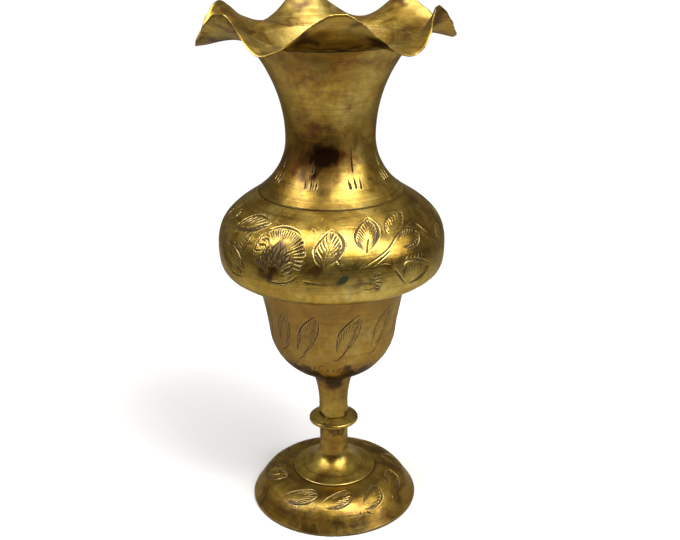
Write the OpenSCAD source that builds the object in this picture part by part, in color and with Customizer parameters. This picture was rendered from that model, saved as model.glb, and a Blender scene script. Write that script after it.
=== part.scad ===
// Footed brass flower vase with a hand-fluted lip.
// Millimetres, +Z up, origin at the centre of the foot's resting face, -Y is the front.
// Turned shells are stacked: foot, stem, cup, belly and neck, with a ruffled sheet lip on top.
// A tie stud runs from a blind boss under the cup, down the hollow stem, to a nut inside the foot.

/* [Shell] */
// Thickness of the cast and turned shells
wall = 1.4; // [1.0:0.1:1.8]
// Thickness of the fluted lip sheet
lip_wall = 1.1; // [0.8:0.1:1.4]

/* [Foot] */
// Radius of the foot at its resting edge
foot_r = 40.6; // [38:0.2:44]
// Height of the foot's flat crown, where the stem's flare sits
crown_z = 14.6; // [14:0.2:17]
// Radius of the stem's flare where it meets the foot
flare_r = 20.3; // [18:0.1:22]

/* [Stem] */
// Radius of the stem at its waist
stem_r = 6.9; // [6.6:0.1:8]
// Height of the collar's middle plane
collar_z = 42; // [40:0.5:44]
// Outer radius of the collar
collar_r = 12; // [10.5:0.1:13]
// Height of the seam between the stem and the cup
cup_z = 68.4; // [66:0.2:71]

/* [Body] */
// Height at which the cup's round bottom turns into its flaring side
bowl_z = 92; // [88:0.5:96]
// Radius of the cup at that height
bowl_r = 30; // [28.5:0.1:31.5]
// Radius of the cup's brim, under the belly
brim_r = 36; // [34:0.2:38]
// Height of the belly's sharp lower edge
edge_z = 123.2; // [121:0.2:125]
// Radius of the belly's sharp lower edge
edge_r = 47.8; // [46:0.2:49]
// Largest radius of the belly
belly_r = 52; // [51:0.2:54]
// Height of the seam between the belly and the neck
seam_z = 160.2; // [158:0.2:162]
// Radius of that seam
seam_r = 32.9; // [32:0.1:35]

/* [Neck and lip] */
// Radius of the neck at its waist
neck_r = 20.2; // [19:0.1:22]
// Height of the neck's waist
waist_z = 184.5; // [180:0.5:190]
// Height of the seam between the neck and the lip
mouth_z = 228; // [226:0.2:230]
// Radius of that seam
mouth_r = 36.7; // [35:0.1:39]
// Mean radius of the lip's edge on its crests
crest_r = 52; // [49:0.5:55]
// Mean radius of the lip's edge in its troughs
trough_r = 57.5; // [55:0.5:60]
// Mean height of the lip's edge on its crests
crest_z = 243; // [239:0.5:246]
// Mean height of the lip's edge in its troughs
trough_z = 227; // [225:0.2:230]

/* [Hidden] */
$fn = 120;

brass = "#b08d3c";
braze_gap = 0.05;       // gap between two brazed or spigoted cylinders
stud_r = 3;             // tie stud, threaded at both ends
stud_gap = 0.3;         // clearance of the stem's bore round the stud
thread_gap = 0.03;      // clearance of the stud in the tapped boss
steps = 14;             // points along each curve of a profile

spigot_r = 4.9;         // spigots that centre the stem's pieces on each other
spigot_h = 3;
boss_floor = 3;         // metal left above the blind tapped hole
boss_h = 12;            // tapped boss, down into the top of the stem
boss_r = 5.6;
hub_r = 6.6;            // hub of the lower stem, which the nut clamps to the crown
rebate = 3;             // width of the lapped, brazed seats
lap = 0.6;              // height of the lapped seats
ledge = 1.6;            // width of the belly's ledge over the cup's flange
proud = 0.35;           // how far a lapped edge stands above its neighbour
mouth_seat = wall * 1.3; // width of the flat seat between the neck and the lip
collar_half = 2.9;      // half of the collar's height at the stem
collar_nose = 1.2;      // half of the collar's thickness at its rounded rim
washer_r = 8;
washer_h = 1;
nut_flats = 10;
nut_h = 5;
stud_tail = 3;          // stud left below the nut

lip_turns = 120;        // facets round the lip
lip_rings = 8;          // facets across the lip

// The lip is bent by hand. Each crest and each trough: degrees round from the front,
// then how far its edge stands from the mean radius and from the mean height.
crests = [[4, 1.5, 2], [67, -3, 0], [137, -1, -2], [194, -0.5, -0.5], [250, 1, -1.5], [312, 5.5, 0.5]];
troughs = [[34, -0.5, 0.5], [103, -1.5, -1.5], [165, -1, 1], [214, 1, 0], [277, 0, -1.5], [332, 0, 1.5]];

// ---- curves ----

// point of a cubic curve through p[0] and p[3] at t
function cubic(p, t) =
    pow(1 - t, 3) * p[0] + 3 * t * pow(1 - t, 2) * p[1] + 3 * t * t * (1 - t) * p[2] + pow(t, 3) * p[3];

// points along one cubic curve
function curve(p, n = steps) = [for (i = [0:n]) cubic(p, i / n)];

// points along several cubic curves that follow on from each other
function chain(curves) =
    [for (k = [0:len(curves) - 1]) for (i = [(k == 0 ? 0 : 1):steps]) cubic(curves[k], i / steps)];

function unit(v) = v / norm(v);

// the curve moved sideways by d, to the left of its direction
function beside(pts, d) =
    let (n = len(pts))
    [for (i = [0:n - 1])
        let (along = unit(pts[min(i + 1, n - 1)] - pts[max(i - 1, 0)]))
        pts[i] + d * [-along[1], along[0]]];

function reversed(pts) = [for (i = [len(pts) - 1:-1:0]) pts[i]];

// outer profiles, as points [radius, height] from the bottom up
foot_outer = chain([[[foot_r, 1.2], [foot_r - 5.6, 9], [flare_r + 15, crown_z - 1], [flare_r, crown_z]]]);

flare_outer = chain([[[flare_r - 0.2, crown_z + 0.8], [flare_r - 6, crown_z + 2.9],
                      [stem_r + 0.4, crown_z + 5], [stem_r, crown_z + 11.2]]]);

stem_outer = chain([[[stem_r + 0.3, collar_z + collar_half], [stem_r - 0.3, collar_z + 10],
                     [stem_r + 0.1, cup_z - 9], [stem_r + 3, cup_z - 0.2]]]);

cup_outer = chain([[[stem_r + 2.2, cup_z], [13.8, cup_z + 0.4],
                    [bowl_r - 1.7, cup_z + 7.6], [bowl_r, bowl_z]],
                   [[bowl_r, bowl_z], [bowl_r + 1, bowl_z + 9],
                    [brim_r - 2.5, edge_z - 11], [brim_r, edge_z - 1]]]);

belly_outer = chain([[[edge_r, edge_z], [belly_r - 0.5, edge_z + 1.6],
                      [belly_r, edge_z + 6], [belly_r, edge_z + 12.8]],
                     [[belly_r, edge_z + 12.8], [belly_r, edge_z + 26],
                      [belly_r - 9.3, seam_z - 6.5], [seam_r, seam_z]]]);

neck_outer = chain([[[seam_r, seam_z + proud], [seam_r - 6.2, seam_z + 5],
                     [neck_r, seam_z + 13.4], [neck_r, waist_z]],
                    [[neck_r, waist_z], [neck_r, waist_z + 11.7],
                     [mouth_r - 13.7, mouth_z - 16.5], [mouth_r, mouth_z]]]);

// ---- turned shells ----

module turned(profile) {
    rotate_extrude()
        polygon(profile);
}

// tube of one radius round the axis
module ring(r_out, r_in, z0, z1) {
    turned([[r_in, z0], [r_out, z0], [r_out, z1], [r_in, z1]]);
}

// domed foot: a rounded shell with a flat crown, drilled for the tie stud
module foot_dome() {
    inner = beside(foot_outer, wall);
    color(brass)
        turned(concat([[foot_r - 2.2, 0], [foot_r - 0.3, 0], [foot_r, 0.4]],
                      foot_outer,
                      [[stud_r + stud_gap, crown_z], [stud_r + stud_gap, crown_z - wall],
                       [flare_r, crown_z - wall]],
                      reversed([for (p = inner) if (p[0] > flare_r && p[0] < foot_r - 2.2) p])));
}

// lower stem: a hollow flare with a hub, and a socket at its top for the upper stem's spigot
module stem_lower() {
    bore = stud_r + stud_gap;
    top = collar_z - collar_half;
    skin = [for (p = beside(flare_outer, wall + 0.6)) if (p[0] > hub_r + 0.6 && p[1] > crown_z + 1.2) p];
    color(brass)
        turned(concat([[hub_r, crown_z], [bore, crown_z],
                       [bore, top - spigot_h], [spigot_r, top - spigot_h], [spigot_r, top],
                       [stem_r, top]],
                      reversed(flare_outer),
                      [[flare_r - 0.2, crown_z], [flare_r - 2.2, crown_z]],
                      skin, [[hub_r, skin[len(skin) - 1][1] + 1]]));
}

// collar: a lens-shaped ring held between the two halves of the stem
module collar() {
    side = curve([[stem_r + 0.3, collar_half], [stem_r + 2, collar_half - 0.5],
                  [collar_r - 2.2, collar_nose + 0.5], [collar_r - 1, collar_nose]], 8);
    nose = [for (a = [75:-15:-75]) [collar_r - 1 + cos(a), collar_nose * sin(a)]];
    mirrored = [for (p = reversed(side)) [p[0], -p[1]]];
    color(brass)
        translate([0, 0, collar_z])
            turned(concat([[spigot_r, -collar_half], [spigot_r, collar_half]], side, nose, mirrored));
}

// upper stem: a waisted tube, with a spigot down through the collar and a socket for the cup's boss
module stem_upper() {
    bore = stud_r + stud_gap;
    foot_of_spigot = collar_z - collar_half - spigot_h;
    color(brass)
        turned(concat([[bore, foot_of_spigot], [spigot_r - braze_gap, foot_of_spigot],
                       [spigot_r - braze_gap, collar_z + collar_half]],
                      stem_outer,
                      [[stem_r + 3, cup_z], [boss_r + braze_gap, cup_z],
                       [boss_r + braze_gap, cup_z - boss_h], [bore, cup_z - boss_h]]));
}

// cup: a bowl with an out-turned flange that closes the belly from below, and a blind tapped boss
module cup() {
    inner = [for (p = beside(cup_outer, wall))
        if (p[1] > cup_z + boss_floor && p[1] < edge_z - 1 - wall) p];
    tapped = stud_r + thread_gap;
    color(brass)
        turned(concat([[0, cup_z - 1], [tapped, cup_z - 1], [tapped, cup_z - boss_h + 0.5],
                       [boss_r, cup_z - boss_h + 0.5], [boss_r, cup_z]],
                      cup_outer,
                      [[edge_r - wall - braze_gap, edge_z - 0.5], [edge_r - wall - braze_gap, edge_z + lap],
                       [inner[len(inner) - 1][0] + 0.2, edge_z + lap]],
                      reversed(inner),
                      [[0, cup_z + boss_floor]]));
}

// belly: the engraved shell, with a ledge that sits on the cup's flange and a seat for the neck
module belly() {
    inner = [for (p = beside(belly_outer, wall))
        if (p[1] > edge_z + lap + 1.4 && p[1] < seam_z - 2.2 && p[0] > seam_r) p];
    color(brass)
        turned(concat([[edge_r - wall, edge_z - 0.4], [edge_r - 0.2, edge_z - 0.4]],
                      belly_outer,
                      [[seam_r, seam_z - lap], [seam_r - rebate, seam_z - lap],
                       [seam_r - rebate, seam_z - lap - wall]],
                      reversed(inner),
                      [[edge_r - wall - ledge, inner[0][1] - 0.6], [edge_r - wall - ledge, edge_z + lap],
                       [edge_r - wall, edge_z + lap]]));
}

// neck: a turned trumpet whose lower edge laps over the belly
module neck() {
    inner = beside(neck_outer, wall);
    color(brass)
        turned(concat([[seam_r - rebate - wall, seam_z - lap], [seam_r - braze_gap, seam_z - lap]],
                      neck_outer,
                      [[mouth_r - mouth_seat, mouth_z]],
                      reversed([for (p = inner) if (p[1] < mouth_z - 1.2 && p[1] > seam_z + wall) p])));
}

// ---- fluted lip ----

mean_crest = [0, crest_r, crest_z];
mean_trough = [0, trough_r, trough_z];

// the bends in order round the lip, from the first crest to the same crest a turn later
bends = concat([for (i = [0:len(crests) - 1])
                   for (b = [crests[i] + mean_crest, troughs[i] + mean_trough]) b],
               [crests[0] + mean_crest + [360, 0, 0]]);

// at an azimuth: the wave, 0 in a trough and 1 on a crest, then the edge's radius and height
function lip_edge(az) =
    let (turn = az < bends[0][0] ? az + 360 : az,
         past = [for (b = bends) if (b[0] <= turn) b],
         i = len(past) - 1,
         a = bends[i],
         b = bends[i + 1],
         s = (1 - cos(180 * (turn - a[0]) / (b[0] - a[0]))) / 2)
    [i % 2 == 0 ? 1 - s : s, mix(a[1], b[1], s), mix(a[2], b[2], s)];

function mix(a, b, s) = a + (b - a) * s;

// section of the lip at an azimuth, as a cubic curve of [radius, height]
function lip_curve(az) =
    let (e = lip_edge(az), root = [mouth_r, mouth_z], edge = [e[1], e[2]])
    [root, root + [5.6, mix(1.5, 4.4, e[0])], edge - [mix(8.5, 2, e[0]), mix(-1.6, 7, e[0])], edge];

// both faces of that section: the lower one outwards, then the upper one back
function lip_section(az) =
    let (under = curve(lip_curve(az), lip_rings),
         upper = beside(under, lip_wall))
    concat([[mouth_r, mouth_z]], [for (i = [1:lip_rings]) under[i]],
           [for (i = [lip_rings:-1:1]) upper[i]], [[mouth_r - mouth_seat, mouth_z]]);

module fluted_lip() {
    m = 2 * lip_rings + 2;
    points = [for (k = [0:lip_turns - 1])
        let (az = 360 * k / lip_turns)
        for (p = lip_section(az)) [p[0] * sin(az), -p[0] * cos(az), p[1]]];
    faces = [for (k = [0:lip_turns - 1]) for (i = [0:m - 1])
        let (a = k * m, b = ((k + 1) % lip_turns) * m, j = (i + 1) % m)
        for (f = [[a + i, a + j, b + i], [a + j, b + j, b + i]]) f];
    color(brass)
        polyhedron(points, faces, convexity = 6);
}

// ---- fasteners inside the stem and the foot ----

nut_z = crown_z - wall - washer_h - nut_h;

module tie_stud() {
    color("silver")
        translate([0, 0, nut_z - stud_tail])
            cylinder(r = stud_r, h = cup_z - 2 - nut_z + stud_tail);
}

module washer() {
    color("silver")
        ring(washer_r, stud_r + stud_gap, crown_z - wall - washer_h, crown_z - wall);
}

module nut() {
    color("silver")
        translate([0, 0, nut_z])
            difference() {
                cylinder(r = nut_flats / 2 / cos(30), h = nut_h, $fn = 6);
                translate([0, 0, -1])
                    cylinder(r = stud_r + thread_gap, h = nut_h + 2);
            }
}

fluted_lip();
neck();
belly();
cup();
stem_upper();
collar();
stem_lower();
foot_dome();
tie_stud();
washer();
nut();
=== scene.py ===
"""Looks of a footed, engraved brass flower vase with a fluted lip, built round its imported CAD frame.

Each turned shell is rebuilt from its CAD node's own section, with rounded corners, a hand-worked
surface and cut engraving, and the lip is swept through its node's own sections.
The shape code works in millimetres, with azimuths in degrees from the front (-Y) towards +X.
"""

import math

import bpy
import numpy as np
from mathutils import Matrix, Vector, kdtree


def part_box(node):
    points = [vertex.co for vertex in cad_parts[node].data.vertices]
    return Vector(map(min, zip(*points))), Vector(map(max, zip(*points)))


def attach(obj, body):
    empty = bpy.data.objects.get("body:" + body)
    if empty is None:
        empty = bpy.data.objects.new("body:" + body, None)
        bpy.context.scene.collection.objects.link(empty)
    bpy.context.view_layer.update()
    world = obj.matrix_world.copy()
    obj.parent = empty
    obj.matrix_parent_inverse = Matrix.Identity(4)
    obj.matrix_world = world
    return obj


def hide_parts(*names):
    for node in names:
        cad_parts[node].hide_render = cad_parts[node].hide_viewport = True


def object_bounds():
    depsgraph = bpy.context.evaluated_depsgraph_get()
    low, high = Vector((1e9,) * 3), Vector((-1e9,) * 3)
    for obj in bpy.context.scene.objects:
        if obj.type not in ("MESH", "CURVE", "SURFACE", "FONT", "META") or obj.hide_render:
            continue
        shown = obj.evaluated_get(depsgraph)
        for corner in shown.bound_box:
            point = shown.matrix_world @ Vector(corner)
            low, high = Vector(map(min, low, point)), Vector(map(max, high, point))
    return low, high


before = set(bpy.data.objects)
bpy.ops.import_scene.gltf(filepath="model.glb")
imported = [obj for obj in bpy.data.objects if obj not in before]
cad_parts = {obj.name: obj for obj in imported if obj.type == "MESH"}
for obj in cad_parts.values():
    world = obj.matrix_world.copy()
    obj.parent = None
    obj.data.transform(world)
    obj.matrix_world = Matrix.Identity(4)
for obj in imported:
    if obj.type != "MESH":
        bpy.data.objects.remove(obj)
cad_low, cad_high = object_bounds()

MM = 0.001


# ---------------------------------------------------------------- reading the CAD nodes


def node_arrays(name):
    """Vertices in millimetres and triangles of a CAD node."""
    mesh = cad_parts[name].data
    mesh.calc_loop_triangles()
    co = np.zeros(len(mesh.vertices) * 3)
    mesh.vertices.foreach_get("co", co)
    tri = np.zeros(len(mesh.loop_triangles) * 3, dtype=np.int64)
    mesh.loop_triangles.foreach_get("vertices", tri)
    return co.reshape(-1, 3) / MM, tri.reshape(-1, 3)


def box_mm(name):
    """Low and high corner of a CAD node."""
    low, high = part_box(name)
    return np.array(low) / MM, np.array(high) / MM


def joined(points, tolerance=2e-3):
    """For each point, the index of the first point that it coincides with."""
    tree = kdtree.KDTree(len(points))
    for i, p in enumerate(points):
        tree.insert(p, i)
    tree.balance()
    return [min(hit[1] for hit in tree.find_range(p, tolerance)) for p in points]


def turned_section(name):
    """Outline (radius, height) of a turned node, just beside the plane where its surfaces begin.

    The second result says whether the outline is a closed loop.
    """
    co, tri = node_arrays(name)
    turn = 0.002
    x = co[:, 0] * math.cos(turn) + co[:, 1] * math.sin(turn)
    y = -co[:, 0] * math.sin(turn) + co[:, 1] * math.cos(turn)
    z = co[:, 2]
    points = []
    for t in tri:
        ends = []
        for a, b in ((t[0], t[1]), (t[1], t[2]), (t[2], t[0])):
            if (y[a] > 0) != (y[b] > 0):
                share = y[a] / (y[a] - y[b])
                ends.append((x[a] + (x[b] - x[a]) * share, z[a] + (z[b] - z[a]) * share, 0.0))
        if len(ends) == 2 and min(ends[0][0], ends[1][0]) > -1e-3:
            points += ends
    same = joined(points)
    links = {}
    for a, b in zip(same[::2], same[1::2]):
        if a != b:
            links.setdefault(a, set()).add(b)
            links.setdefault(b, set()).add(a)
    loose = [k for k in links if len(links[k]) == 1]
    chain, last = [loose[0] if loose else min(links)], None
    while True:
        onward = [k for k in links[chain[-1]] if k not in (last, chain[0])]
        if not onward:
            break
        last = chain[-1]
        chain.append(onward[0])
    return np.array([points[k][:2] for k in chain]), not loose


def simplified(points, tolerance):
    """Points of an open line without those that lie on the straight between others."""
    keep = np.zeros(len(points), bool)
    keep[[0, -1]] = True
    stack = [(0, len(points) - 1)]
    while stack:
        a, b = stack.pop()
        if b - a < 2:
            continue
        along = points[b] - points[a]
        size = np.hypot(*along)
        rest = points[a + 1 : b] - points[a]
        if size < 1e-9:
            off = np.hypot(rest[:, 0], rest[:, 1])
        else:
            off = np.abs(rest[:, 0] * along[1] - rest[:, 1] * along[0]) / size
        k = int(off.argmax())
        if off[k] > tolerance:
            keep[a + 1 + k] = True
            stack += [(a, a + 1 + k), (a + 1 + k, b)]
    return points[keep]


def spline(points, step):
    """Dense points on a centripetal Catmull-Rom curve through the given ones."""
    p = np.asarray(points, float)
    if len(p) == 2:
        n = max(2, int(np.linalg.norm(p[1] - p[0]) / step))
        return p[0] + (p[1] - p[0]) * np.linspace(0, 1, n + 1)[:, None]
    p = np.concatenate([[2 * p[0] - p[1]], p, [2 * p[-1] - p[-2]]])
    made = []
    for i in range(1, len(p) - 2):
        q = p[i - 1 : i + 3]
        gaps = np.maximum(np.linalg.norm(np.diff(q, axis=0), axis=1), 1e-6) ** 0.5
        t = np.concatenate([[0], np.cumsum(gaps)])
        n = max(2, int(np.linalg.norm(q[2] - q[1]) / step))
        u = (t[1] + (t[2] - t[1]) * np.linspace(0, 1, n, endpoint=False))[:, None]

        def between(a, b, first, last):
            span = t[last] - t[first]
            return (t[last] - u) / span * a + (u - t[first]) / span * b

        a1, a2, a3 = [between(q[k], q[k + 1], k, k + 1) for k in range(3)]
        made.append(between(between(a1, a2, 0, 2), between(a2, a3, 1, 3), 1, 2))
    return np.concatenate(made + [p[-2:-1]])


def lengths_along(line):
    """Distance from the start of a line to each of its points."""
    return np.concatenate([[0], np.cumsum(np.linalg.norm(np.diff(line, axis=0), axis=1))])


class Profile:
    """Smooth outline of a turned node, measured along its length from the start of its outer face."""

    STEP = 0.1
    SHARP = 24  # degrees: a sharper bend than this is a corner
    BREAK = 35  # degrees: the outer face ends at the next corner that is sharper than this
    CORNER_CELL = 0.2  # height of the cells next to a corner

    def __init__(self, name, start, rounding):
        outline, self.closed = turned_section(name)
        if self.closed:
            cut = int(np.hypot(*(outline - np.array(start)).T).argmin())
            outline = np.roll(outline, -cut, axis=0)
            outline = simplified(np.concatenate([outline, outline[:1]]), 0.008)[:-1]
        else:
            outline = simplified(outline, 0.008)
        onward = np.roll(outline, -1, axis=0)
        area = np.sum(outline[:, 0] * onward[:, 1] - onward[:, 0] * outline[:, 1])
        if area < 0:  # the outer face has to run upwards, with the metal on its left
            outline = outline[::-1]
            if self.closed:
                outline = np.roll(outline, 1, axis=0)
        ring = np.concatenate([outline, outline[:1]]) if self.closed else outline
        ways = np.diff(ring, axis=0)
        heading = np.degrees(np.arctan2(ways[:, 1], ways[:, 0]))
        before = np.roll(heading, 1) if self.closed else np.concatenate([heading[:1], heading[:-1]])
        bend = (heading - before + 180) % 360 - 180
        corners = [i for i in range(len(ways)) if abs(bend[i]) > self.SHARP and (self.closed or i > 0)]
        dense, marks = [], []
        stops = sorted(set([0] + corners)) + [len(ring) - 1]
        for a, b in zip(stops[:-1], stops[1:]):
            if a in corners:
                marks.append((sum(len(d) for d in dense), abs(bend[a])))
            dense.append(spline(ring[a : b + 1], 0.03)[:-1])
        line = np.concatenate(dense + [ring[-1:]])
        run = lengths_along(line)
        self.length = run[-1]
        self.corners = [(run[i], size) for i, size in marks]
        self.at = np.linspace(0, self.length, int(self.length / self.STEP) + 1)
        even = np.stack([np.interp(self.at, run, line[:, c]) for c in (0, 1)], 1)
        self.line = self.rounded(even, rounding)
        self.top = self.line[:, 1].max()
        start_s = self.at[int(np.hypot(*(self.line - np.array(start)).T).argmin())]
        self.start = start_s - self.length if self.closed and start_s > self.length - 1 else start_s
        later = sorted(s for s, size in self.corners if size > self.BREAK and s > self.start + 4)
        self.stop = later[0] if later else self.length
        way = np.gradient(self.line, axis=0)
        if self.closed:
            way[0] = way[-1] = self.line[1] - self.line[-2]
        way /= np.maximum(np.linalg.norm(way, axis=1), 1e-9)[:, None]
        self.out = np.stack([way[:, 1], -way[:, 0]], 1)

    def rounded(self, even, rounding):
        """The evenly spaced outline with its corners rounded."""
        reach = int(4 * rounding / self.STEP) + 1
        how = {"mode": "wrap"} if self.closed else {"mode": "reflect", "reflect_type": "odd"}
        weight = np.exp(-0.5 * (np.arange(-reach, reach + 1) * self.STEP / rounding) ** 2)
        weight /= weight.sum()
        padded = np.pad(even[:-1] if self.closed else even, ((reach, reach), (0, 0)), **how)
        soft = np.stack([np.convolve(padded[:, c], weight, "valid") for c in (0, 1)], 1)
        return np.concatenate([soft, soft[:1]]) if self.closed else soft

    def sample(self, s):
        """Radius, height and outward normal at lengths s from the start of the outline."""
        s = np.mod(s, self.length) if self.closed else s
        return [np.interp(s, self.at, values[:, c]) for values in (self.line, self.out) for c in (0, 1)]

    def rows(self, outer, inner):
        """Lengths at which rings of cells begin: close at corners, even on the outer face, wide inside."""
        made, s = [], 0.0
        while s < self.length - 0.05:
            made.append(s)
            to_end = self.length - s if self.closed else 9
            near = min([to_end] + [abs(s + 0.1 - c) for c, _ in self.corners])
            if near < 0.6:
                step = self.CORNER_CELL
            elif near < 1.6:
                step = min(0.6, outer)
            else:
                step = outer if self.start - 0.1 <= s <= self.stop else inner
                ahead = [c - 0.5 - s for c, _ in self.corners if c > s]
                if ahead:
                    step = min(step, max(self.CORNER_CELL, min(ahead)))
            s += step
        return np.array(made + [self.length])


# ---------------------------------------------------------------- engraving


class Engraving:
    """Depth of cut over the unrolled outer face of a turned shell, on its fine grid."""

    JITTER = 0.08  # how far the engraver's hand strays

    def __init__(self, s, radius, columns):
        self.s, self.radius, self.columns = s, radius, columns
        self.depth, self.lift, self.grime = np.zeros((3, len(s), columns))
        self.rng = np.random.default_rng(11)
        self.turn = 0  # degrees by which the next strokes are turned round the vase

    def degrees_per_mm(self, s):
        return 180 / math.pi / np.interp(s, self.s, self.radius)

    def cut(self, points, width, depth=None, form="wedge", dirt=1.0):
        """One stroke of the graver through the points (azimuth, s)."""
        p = np.array(points, float) + [self.turn, 0]
        scale = np.array([1 / self.degrees_per_mm(p[:, 1].mean()), 1.0])
        p = p * scale + self.rng.normal(0, self.JITTER, p.shape)
        line = spline(p, 0.25)
        t = np.linspace(0, 1, len(line))
        if form == "wedge":  # enters deep, leaves thin
            shape = np.minimum(1, (1 - t) * 1.6) ** 0.8 * np.minimum(1, t * 9 + 0.25)
        elif form == "swell":  # widest in the middle
            shape = np.sin(math.pi * (0.04 + 0.92 * t)) ** 0.7
        else:  # "gouge": blunt at both ends
            shape = np.minimum(1, np.minimum(t, 1 - t) * 7 + 0.35)
        half = width / 2 * shape * self.rng.uniform(0.88, 1.12)
        depth = width * 0.42 if depth is None else depth
        deep = depth * shape * self.rng.uniform(0.85, 1.1)
        cell = 360 / self.columns / self.degrees_per_mm(p[:, 1].mean())
        for (ax, sy), h, d, full in zip(line, half, deep, shape):
            reach = h * 1.7 + 0.05
            first, last = np.searchsorted(self.s, [sy - reach, sy + reach])
            if first >= last:
                continue
            cols = np.arange(int(math.floor((ax - reach) / cell)), int(math.ceil((ax + reach) / cell)) + 1)
            dx, dy = cols * cell - ax, self.s[first:last] - sy
            u = np.hypot(dx[None, :], dy[:, None]) / max(h, 0.05)
            window = np.ix_(np.arange(first, last), cols % self.columns)
            trench = d * np.clip(1 - u * u, 0, 1) ** 1.3
            burr = 0.15 * d * np.exp(-(((u - 1.25) / 0.28) ** 2))
            soil = dirt * full * np.clip(1.15 - u, 0, 1) ** 1.2 * min(1.0, width / 0.7)
            for field, made in ((self.depth, trench), (self.lift, burr), (self.grime, soil)):
                field[window] = np.maximum(field[window], made)

    def swell(self, points, width, depth=None):
        self.cut(points, width, depth, "swell")

    def leaf(self, base, tip, left, right, bands=(1.2, 1.2), hatch=14, fine=0.72, reach=0.6, dirt=1.0):
        """Leaf with two edges and a fan of strokes that runs down to its base.

        bands are the widths of its two edges: chiselled ones, or below 0 plain ones.
        """
        base, tip = np.array(base, float), np.array(tip, float)
        u = np.linspace(0, 1, 9)[:, None]
        for side, band in ((left, bands[0]), (right, bands[1])):
            middle = 2 * np.array(side, float) - 0.5 * (base + tip)
            edge = (1 - u) ** 2 * base + 2 * u * (1 - u) * middle + u * u * tip
            if band > 0:
                self.swell(edge[1:], band, band * 0.45)
            elif band < 0:
                self.swell(edge[2:], -band)
            for t in np.linspace(0.3, 0.97, hatch // 2):
                k = t * (len(edge) - 1)
                low, high = edge[int(k)], edge[min(int(k) + 1, len(edge) - 1)]
                outer = low + (high - low) * (k % 1)
                rib = base + (tip - base) * max(0.02, t - 0.42)
                start = outer + (rib - outer) * 0.12
                stop = start + (rib - outer) * reach * self.rng.uniform(0.8, 1.1)
                self.cut([start, stop], fine, dirt=dirt)


def flower(e, centre, size=12.0):
    """Big open flower: a hatched fan of petals round a dark gouged heart."""

    def place(x, y):
        """The point x mm to the right of and y mm above the centre."""
        s = centre[1] + y
        return np.array([centre[0] + x * e.degrees_per_mm(s), s])

    def at(degrees, share):
        angle = math.radians(degrees)
        return place(size * share * math.cos(angle) * 0.98, size * share * math.sin(angle))

    fans = ((196, 138, 5, 0.62, 0.7), (128, 52, 13, 0.50, 0.72), (44, -24, 8, 0.52, 1.45))
    for first, last, count, inner, width in fans:
        for i, a in enumerate(np.linspace(first, last, count)):
            deep = inner + e.rng.uniform(-0.06, 0.06)
            rim = 0.99 + 0.02 * math.sin(i * 2.1)
            e.cut([at(a, rim), at(a - 7, deep)], width, 0.30 + 0.17 * width)
    e.swell([at(a, 1.08) for a in (128, 110, 92, 74, 58, 47)], 1.15)
    e.swell([at(a, 1.04) for a in (196, 180, 165, 150, 138)], 0.8)
    e.swell([at(150, 0.98), at(140, 0.72), at(152, 0.5)], 0.9)
    e.swell([at(172, 0.98), at(160, 0.70), at(176, 0.48)], 0.8)
    e.swell([at(a, 1.05) for a in (-116, -98, -78, -58, -38)], 1.25)
    e.swell([at(a, 1.06) for a in (-36, -24, -12, 0)], 0.6)
    # petals of the heart: tip, base and half width
    petals = (
        (-0.4, 6.4, -2.6, -6.6, 2.2), (-4.4, 4.4, -4.4, -6.4, 1.7), (3.2, 4.4, 0.0, -6.4, 1.8),
        (6.4, 2.6, 1.6, -5.4, 1.6), (8.4, -1.6, 0.8, -7.4, 1.7), (-7.0, 1.6, -5.8, -6.6, 1.2),
        (8.0, -4.6, 2.2, -8.6, 1.2),
    )
    for tip_x, tip_y, base_x, base_y, half in petals:
        tip, base = np.array([tip_x, tip_y]), np.array([base_x, base_y])
        along = (tip - base) / np.linalg.norm(tip - base)
        across = np.array([-along[1], along[0]]) * half
        for side in (-1, 1):
            middle = (tip + base) / 2 + across * side
            e.swell([place(*tip), place(*middle), place(*base)], 1.15, 0.5)
        inner = base + (tip - base) * 0.75
        e.cut([place(*inner), place(*((inner + base) / 2 + across * 0.15)), place(*base)], 1.0, 0.34)
    for j in range(5):
        stop = place(-9.4 + 1.35 * j, -8.2 - 0.4 * j)
        e.cut([place(-11.2 + 1.35 * j, -2.4 - 0.6 * j), stop], 0.95, 0.5)


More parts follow.
